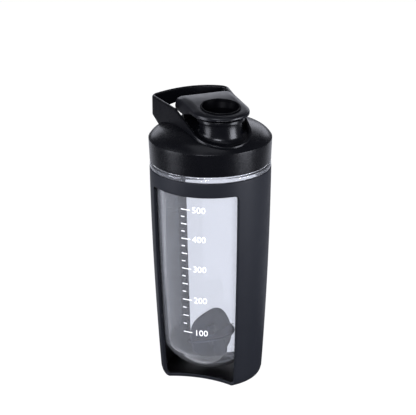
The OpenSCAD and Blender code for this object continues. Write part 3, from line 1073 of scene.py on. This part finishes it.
def make_cap():
    """The flip cap: plate, skirt and the two hinge barrels."""
    shell = bridged([cap_section(p) for p in cap_outline()], closed=True)
    inner, outer = POST_WIDE + SIDE_GAP, CAP_HALF - SKIN
    ends = ((inner, outer), (-outer, -inner))
    barrels = joined(*[across_cylinder(a, b, BARREL_R - SKIN, 0.5, PIN_BORE) for a, b in ends])
    cap = make_piece("cap_shell", shell, CAP_PLASTIC, "cap", ["flip_cap"])
    cut(cap, across_cylinder(-inner, inner, BARREL_R + TURNING_GAP, 0))
    cut(cap, post_room())
    make_piece("cap_hinge_barrels", barrels, CAP_PLASTIC, "cap")


def on_plate(p):
    """Leans the plug's upper part with the cap's plate; what is in the spout stays upright."""
    height, base = p.z - SHOULDER, SPOUT_H + 0.3
    if height <= base:
        return p
    level = cap_level(p.y)
    if height > CAP_TOP:
        return Vector((p.x, p.y, SHOULDER + level + height - CAP_TOP))
    return Vector((p.x, p.y, SHOULDER + mix(base, level, (height - base) / (CAP_TOP - base))))


def make_plug():
    """The deep stopper in the cap's plate."""
    seat = PLUG_SEAT - 0.1
    outline = rounded([
        (0, 15.6, 0), (12.2, 15.6, 1.2), (12.5, 22.3, 0.15), (12, 22.35, 0.1), (12, 23.65, 0.1),
        (12.6, 23.7, 0.2), (seat, CAP_TOP - PLATE_T, 0.3), (seat, CAP_TOP + 0.05, 0.1),
        (seat + 0.5, CAP_TOP + 0.12, 0.15), (seat + 0.25, CAP_TOP + 0.7, 0.3),
        (13.1, CAP_TOP + 0.66, 0.4), (12.75, CAP_TOP - 1.4, 1.2), (11.3, CAP_TOP - 5.4, 2),
        (11, 17.2, 1.8), (0, 17.2, 0),
    ], 5)
    shell = turned([Vector((r, SHOULDER + z)) for r, z in outline], 160, (0, SPOUT_Y))
    make_piece("plug_shell", moved(shell, on_plate), PLUG_PLASTIC, "cap", ["cap_plug"])


def ring(inner, outer, low, high, edge, centre=(0, 0)):
    """A ring of rounded rectangular section."""
    corners = [(inner, low, edge), (outer, low, edge), (outer, high, edge), (inner, high, edge)]
    return turned(rounded(corners), 160, centre)


def make_small_parts():
    """The gasket, the spout's seal and the hinge pin."""
    low, high = box_mm("lid_gasket")
    shell = ring(RIB_R + 0.6, high.x, low.z, high.z, 0.35)
    make_piece("lid_gasket_ring", shell, SILICONE, "seal_ring", ["lid_gasket"])
    low, high = box_mm("spout_seal")
    shell = ring(12, high.x, low.z, high.z, 0.4, (0, SPOUT_Y))
    make_piece("spout_seal_ring", shell, SILICONE, "cap", ["spout_seal"])
    low, high = box_mm("hinge_pin")
    shell = across_cylinder(low.x, high.x, (high.z - low.z) / 2, 0.3)
    make_piece("hinge_pin_rod", shell, STEEL, "cap", ["hinge_pin"])


# ---- mixing ball ----

BALL_R = 18.5
VANE_T = 1.6
VANE_TURN = 14
LEAF_RISE = 2.3
HUB_R = 3.6
HUB_H = 8
AXLE_R = 2
AXLE_HALF = 6.4
LEAF_NOTCH = 0.44
LEAF_R = BALL_R - 0.6


def in_ball(p):
    """Places a point of the upright ball where the ball lies."""
    turn = Vector((0, 0, 1)).rotation_difference(BALL_AXIS)
    return BALL_CENTRE + turn @ Vector(p)


def disc_wave(x, y):
    """Height of the ball's wavy middle disc."""
    r = min(1, math.hypot(x, y) / BALL_R)
    a = math.atan2(y, x)
    return r * r * (3.4 * math.cos(a + 1.15) + 1.2 * math.sin(2 * a + 0.4))


def ball_disc():
    """The wavy middle disc, as a sheet."""
    radii = between(AXLE_R + 0.4, BALL_R - 0.9, 12)
    loops = []
    for r in radii:
        ring_points = [polar(r, 360 * i / 120) for i in range(120)]
        loops.append([Vector((x, y, disc_wave(x, y))) for x, y in ring_points])
    return bridged(loops)


def leaf_line(radius, rise):
    """A half-round leaf's edge, as heights along the leaf."""
    return [p + Vector((0, rise)) for p in arc((0, 0), radius, 180, 0, 40)]


def ball_leaf(turn, up, line):
    """A leaf across the ball, bent a little, that follows the disc and clears the pin."""
    radius = line[-1].x
    clear = AXLE_R + 0.6
    side = [mix(clear, radius * 0.99, math.sin(math.radians(90 * i / 14))) for i in range(15)]
    columns = [-x for x in reversed(side)] + [-clear / 2, 0, clear / 2] + side
    levels = between(0, LEAF_NOTCH, 4) + between(LEAF_NOTCH, 1, 6)[1:]
    c, s = math.cos(math.radians(turn)), math.sin(math.radians(turn))
    rows = []
    for t in levels:
        row = []
        for x in columns:
            top = height_on(line, x)
            bend = 1.3 * math.sin(math.pi * x / radius) * t
            px, py = x * c - bend * s, x * s + bend * c
            row.append(Vector((px, py, up * t * top + disc_wave(px, py) * (1 - t))))
        rows.append(row)
    points, faces = sheet(rows)
    middle = [i for i, x in enumerate(columns) if abs(x) < clear]
    notch = {i * len(columns) + k for i in range(4) for k in middle}
    return points, [face for face in faces if not notch & set(face)]


UPPER_LEAF = (
    curve4((-LEAF_R, 0), (-LEAF_R + 0.1, 16), (-11, 18.8), (4, 18.6), 20)
    + curve4((4, 18.6), (13, 18.7), (16.4, 13), (LEAF_R, 0), 20)[1:]
)


def hub(up):
    """The ball's hub on one side of its disc, with a blind hole for the pin."""
    bore = AXLE_R + 0.05
    outline = rounded([
        (bore, 0.2, 0.1), (HUB_R, 0.2, 0.1), (HUB_R, HUB_H, 0.8), (0, HUB_H, 0),
        (0, AXLE_HALF + 0.1, 0), (bore, AXLE_HALF + 0.1, 0),
    ])
    return turned([Vector((r, up * z)) for r, z in outline], 64)


def make_ball():
    """The mixing ball: disc with one upper leaf, crossed lower leaves, two hubs, the round pin."""
    upper = joined(ball_disc(), ball_leaf(VANE_TURN, 1, UPPER_LEAF))
    round_leaf = leaf_line(LEAF_R, LEAF_RISE)
    lower = joined(*[ball_leaf(a, -1, round_leaf) for a in (VANE_TURN, VANE_TURN + 90)])
    for name, shell, node in (("ball_upper_vanes", upper, "mixer_upper"),
                              ("ball_lower_vanes", lower, "mixer_lower")):
        make_piece(name, moved(shell, in_ball), MIXER_PLASTIC, "ball", [node],
                   thickness=VANE_T, bevel=0.45, facing=False)
    for name, up in (("ball_upper_hub", 1), ("ball_lower_hub", -1)):
        make_piece(name, moved(hub(up), in_ball), MIXER_PLASTIC, "ball")
    outline = rounded([
        (0, -AXLE_HALF, 0), (AXLE_R, -AXLE_HALF, 0.3), (AXLE_R, AXLE_HALF, 0.3), (0, AXLE_HALF, 0),
    ])
    make_piece("ball_pin_rod", moved(turned(outline, 64), in_ball), MIXER_PLASTIC, "ball_pin",
               ["mixer_pin"])


# ---- volume scale ----

SCALE_TURN = WINDOW_DIRECTION + 1
INK_LIFT = 0.07
INK_T = 0.05
TICKS_FROM = -8
TICK_HALF = 0.3
NUMBER_SIZE = 6.6


def cup_r(z):
    """Outer radius of the cup's skin at height z."""
    return side_r(z) - SLEEVE_T - CUP_GAP


def fill_heights(volumes_ml):
    """Heights that the drink reaches in the cup, from its inside section."""
    line = cup_skin(CUP_T)
    heights, volume, wanted = [], 0.0, list(volumes_ml)
    for a, b in zip(line, line[1:]):
        for k in range(20):
            low, high = mix(a, b, k / 20), mix(a, b, (k + 1) / 20)
            volume += math.pi * ((low.x + high.x) / 2) ** 2 * (high.y - low.y) / 1000
            if wanted and volume >= wanted[0]:
                heights.append(high.y)
                wanted.pop(0)
    return heights


def on_cup(u, z, lift=0.0):
    """A point on the cup at distance u round it from the scale's middle."""
    r = cup_r(z) + lift
    x, y = polar(r, SCALE_TURN + math.degrees(u / cup_r(z)))
    return Vector((x, y, z))


def ink_bar(u0, u1, z0, z1):
    """A printed bar, as a sheet."""
    columns = max(1, round(abs(u1 - u0) / 1.5))
    return sheet([[on_cup(mix(u0, u1, i / columns), z, INK_LIFT) for i in range(columns + 1)]
                  for z in (z0, z1)])


def ink_number(text, u, z):
    """A printed number, as a sheet."""
    letters = bpy.data.curves.new("number", "FONT")
    letters.body = text
    letters.size = NUMBER_SIZE
    letters.resolution_u = 4
    letters.align_y = "CENTER"
    holder = new_object("number", letters)
    bpy.context.view_layer.update()
    flat = bpy.data.meshes.new_from_object(holder.evaluated_get(bpy.context.evaluated_depsgraph_get()))
    points = [on_cup(u + v.co.x, z + v.co.y, INK_LIFT) for v in flat.vertices]
    faces = [tuple(p.vertices) for p in flat.polygons]
    bpy.data.objects.remove(holder)
    return points, faces


def make_scale():
    """A white volume scale: a tick every 25 ml and a number every 100 ml."""
    volumes = range(100, 525, 25)
    bars, numbers = [], []
    for volume, z in zip(volumes, fill_heights(volumes)):
        long = 7 if volume % 100 == 0 else 4.5 if volume % 50 == 0 else 2.8
        bars.append(ink_bar(TICKS_FROM, TICKS_FROM + long, z - TICK_HALF, z + TICK_HALF))
        if volume % 100 == 0:
            numbers.append(ink_number(str(volume), 0.5, z))
    shell = joined(*bars, *numbers)
    make_piece("volume_scale", shell, INK, "cup", thickness=INK_T, facing=False)


# ---- stage, light and camera ----

CAMERA_AZIMUTH = -21
CAMERA_ELEVATION = 20.2
CAMERA_DISTANCE = 1.468
CAMERA_LENS = 176.6
CAMERA_ROLL = -0.3
LOOK_AT_Z = 0.1271
LOOK_AT_LEFT = 0.0019
UPWARD = 50

# Each light's name, turn from the camera, distance, height, height aimed at, size and power
LIGHTS = [
    ("left_strip", -70, 0.55, 0.25, 0.25, (0.28, 0.50), 4.2),
    ("right_strip", 65, 0.55, 0.15, 0.10, (0.30, 0.30), 4.6),
    ("top_box", 0, 0.2, 1.30, 0.12, (0.9, 0.9), 3),
    ("front_box", -12, 1.05, 0.72, 0.15, (0.5, 0.3), 15),
    ("floor_glow", 180, 0.62, 0.001, UPWARD, (0.8, 1.1), 1.9),
    ("back_wall", 180, 1.8, 0.65, 0.12, (2.4, 0.62), 9),
]


def towards(azimuth, elevation):
    """Unit vector from the bottle to a place round it."""
    a, e = math.radians(azimuth), math.radians(elevation)
    return Vector((math.sin(a) * math.cos(e), -math.cos(a) * math.cos(e), math.sin(e)))


def make_camera():
    """The camera at the photograph's angle."""
    lens = bpy.data.cameras.new("camera")
    lens.lens = CAMERA_LENS
    lens.sensor_width = 36
    lens.clip_end = 100
    camera = new_object("camera", lens)
    a = math.radians(CAMERA_AZIMUTH)
    right = Vector((math.cos(a), math.sin(a), 0))
    target = Vector((0, 0, LOOK_AT_Z)) - right * LOOK_AT_LEFT
    back = towards(CAMERA_AZIMUTH, CAMERA_ELEVATION)
    camera.location = target + back * CAMERA_DISTANCE
    camera.rotation_mode = "QUATERNION"
    turn = (-back).to_track_quat("-Z", "Y")
    roll = Quaternion((0, 0, 1), math.radians(CAMERA_ROLL))
    camera.rotation_quaternion = turn @ roll
    bpy.context.scene.camera = camera


def make_light(name, turn, distance, height, aim, size, power):
    """A soft area light at a distance and height, aimed at a height on the bottle's axis."""
    lamp = bpy.data.lights.new(name, "AREA")
    lamp.shape = "RECTANGLE"
    lamp.size, lamp.size_y = size
    lamp.energy = power
    lamp.color = (0.88, 0.90, 1)
    light = new_object(name, lamp)
    light.location = towards(CAMERA_AZIMUTH + turn, 0) * distance + Vector((0, 0, height))
    light.rotation_mode = "QUATERNION"
    away = light.location - Vector((0, 0, aim))
    light.rotation_quaternion = (-away).to_track_quat("-Z", "Y")
    light.visible_camera = light.visible_transmission = False


def make_floor():
    """A plain pale floor."""
    bpy.ops.mesh.primitive_plane_add(size=40)
    floor = bpy.context.object
    floor.name = "floor"
    material, tree, shader = new_material("floor")
    tint = blended(tree, noise(tree, 2, 2), (0.06, 0.06, 0.0604), (0.07, 0.07, 0.0704))
    tree.links.new(tint, shader.inputs["Base Color"])
    shader.inputs["Roughness"].default_value = 0.9
    shader.inputs["Specular IOR Level"].default_value = 0.1
    shader.inputs["Emission Color"].default_value = (1, 1, 1, 1)
    shader.inputs["Emission Strength"].default_value = 0.97
    floor.data.materials.append(material)
    floor.visible_glossy = False


def make_world():
    """Even pale surroundings."""
    world = bpy.data.worlds.new("studio")
    world.use_nodes = True
    sky = world.node_tree.nodes["Background"].inputs
    sky["Color"].default_value = (0.86, 0.88, 1, 1)
    sky["Strength"].default_value = 0.12
    bpy.context.scene.world = world
    bpy.context.scene.view_settings.view_transform = "Standard"


make_camera()
make_sleeve()
make_cup()
make_lid()
make_handle()
make_cap()
make_plug()
make_small_parts()
make_ball()
make_scale()
make_floor()
make_world()
for light_row in LIGHTS:
    make_light(*light_row)
